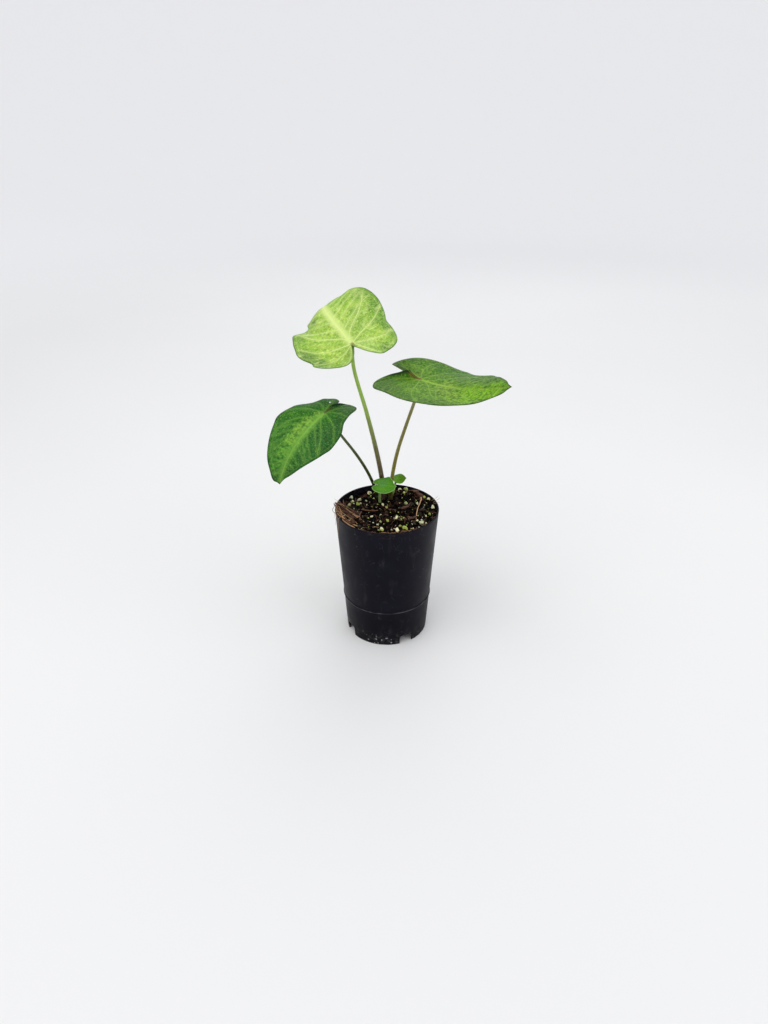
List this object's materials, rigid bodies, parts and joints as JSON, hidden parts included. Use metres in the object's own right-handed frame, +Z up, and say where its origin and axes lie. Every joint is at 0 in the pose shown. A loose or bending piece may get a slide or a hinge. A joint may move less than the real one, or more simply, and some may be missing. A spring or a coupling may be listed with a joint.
{
  "type": "potted frog in a blender caladium",
  "caption": "Young caladium with mottled green heart-shaped leaves on thin bare stalks, growing in dark peat in a tapered black nursery pot that stands on its notched foot.",
  "frame": {"origin": "on the surface that the pot stands on, under the middle of the whole plant's outline seen from above; the pot's axis is 3 mm to +X and 9.4 mm to -Y of it", "axes": "+Z up along the pot's axis, +X to the plant's right-hand leaf, -Y to the front"},
  "size_m": [0.1503, 0.1332, 0.247],
  "materials": {
    "pot_plastic": "satin",
    "peat": "matte",
    "tuber_skin": "matte",
    "blade_lime": "satin",
    "blade_mid_green": "satin",
    "blade_dark_green": "satin",
    "blade_young_green": "satin",
    "petiole_purple_brown": "satin",
    "petiole_olive": "satin",
    "petiole_dark_green": "satin",
    "petiole_pale_green": "satin"
  },
  "bodies": {
    "root": {"pot": "pot_plastic", "soil": "peat", "tuber": "tuber_skin", "leaf_top_blade": "blade_lime", "leaf_top_petiole": "petiole_purple_brown", "leaf_right_blade": "blade_mid_green", "leaf_right_petiole": "petiole_olive", "leaf_left_blade": "blade_dark_green", "leaf_left_petiole": "petiole_dark_green", "leaf_small_front_blade": "blade_young_green", "leaf_small_front_petiole": "petiole_pale_green", "leaf_small_back_blade": "blade_young_green", "leaf_small_back_petiole": "petiole_pale_green"}
  },
  "joints": []
}
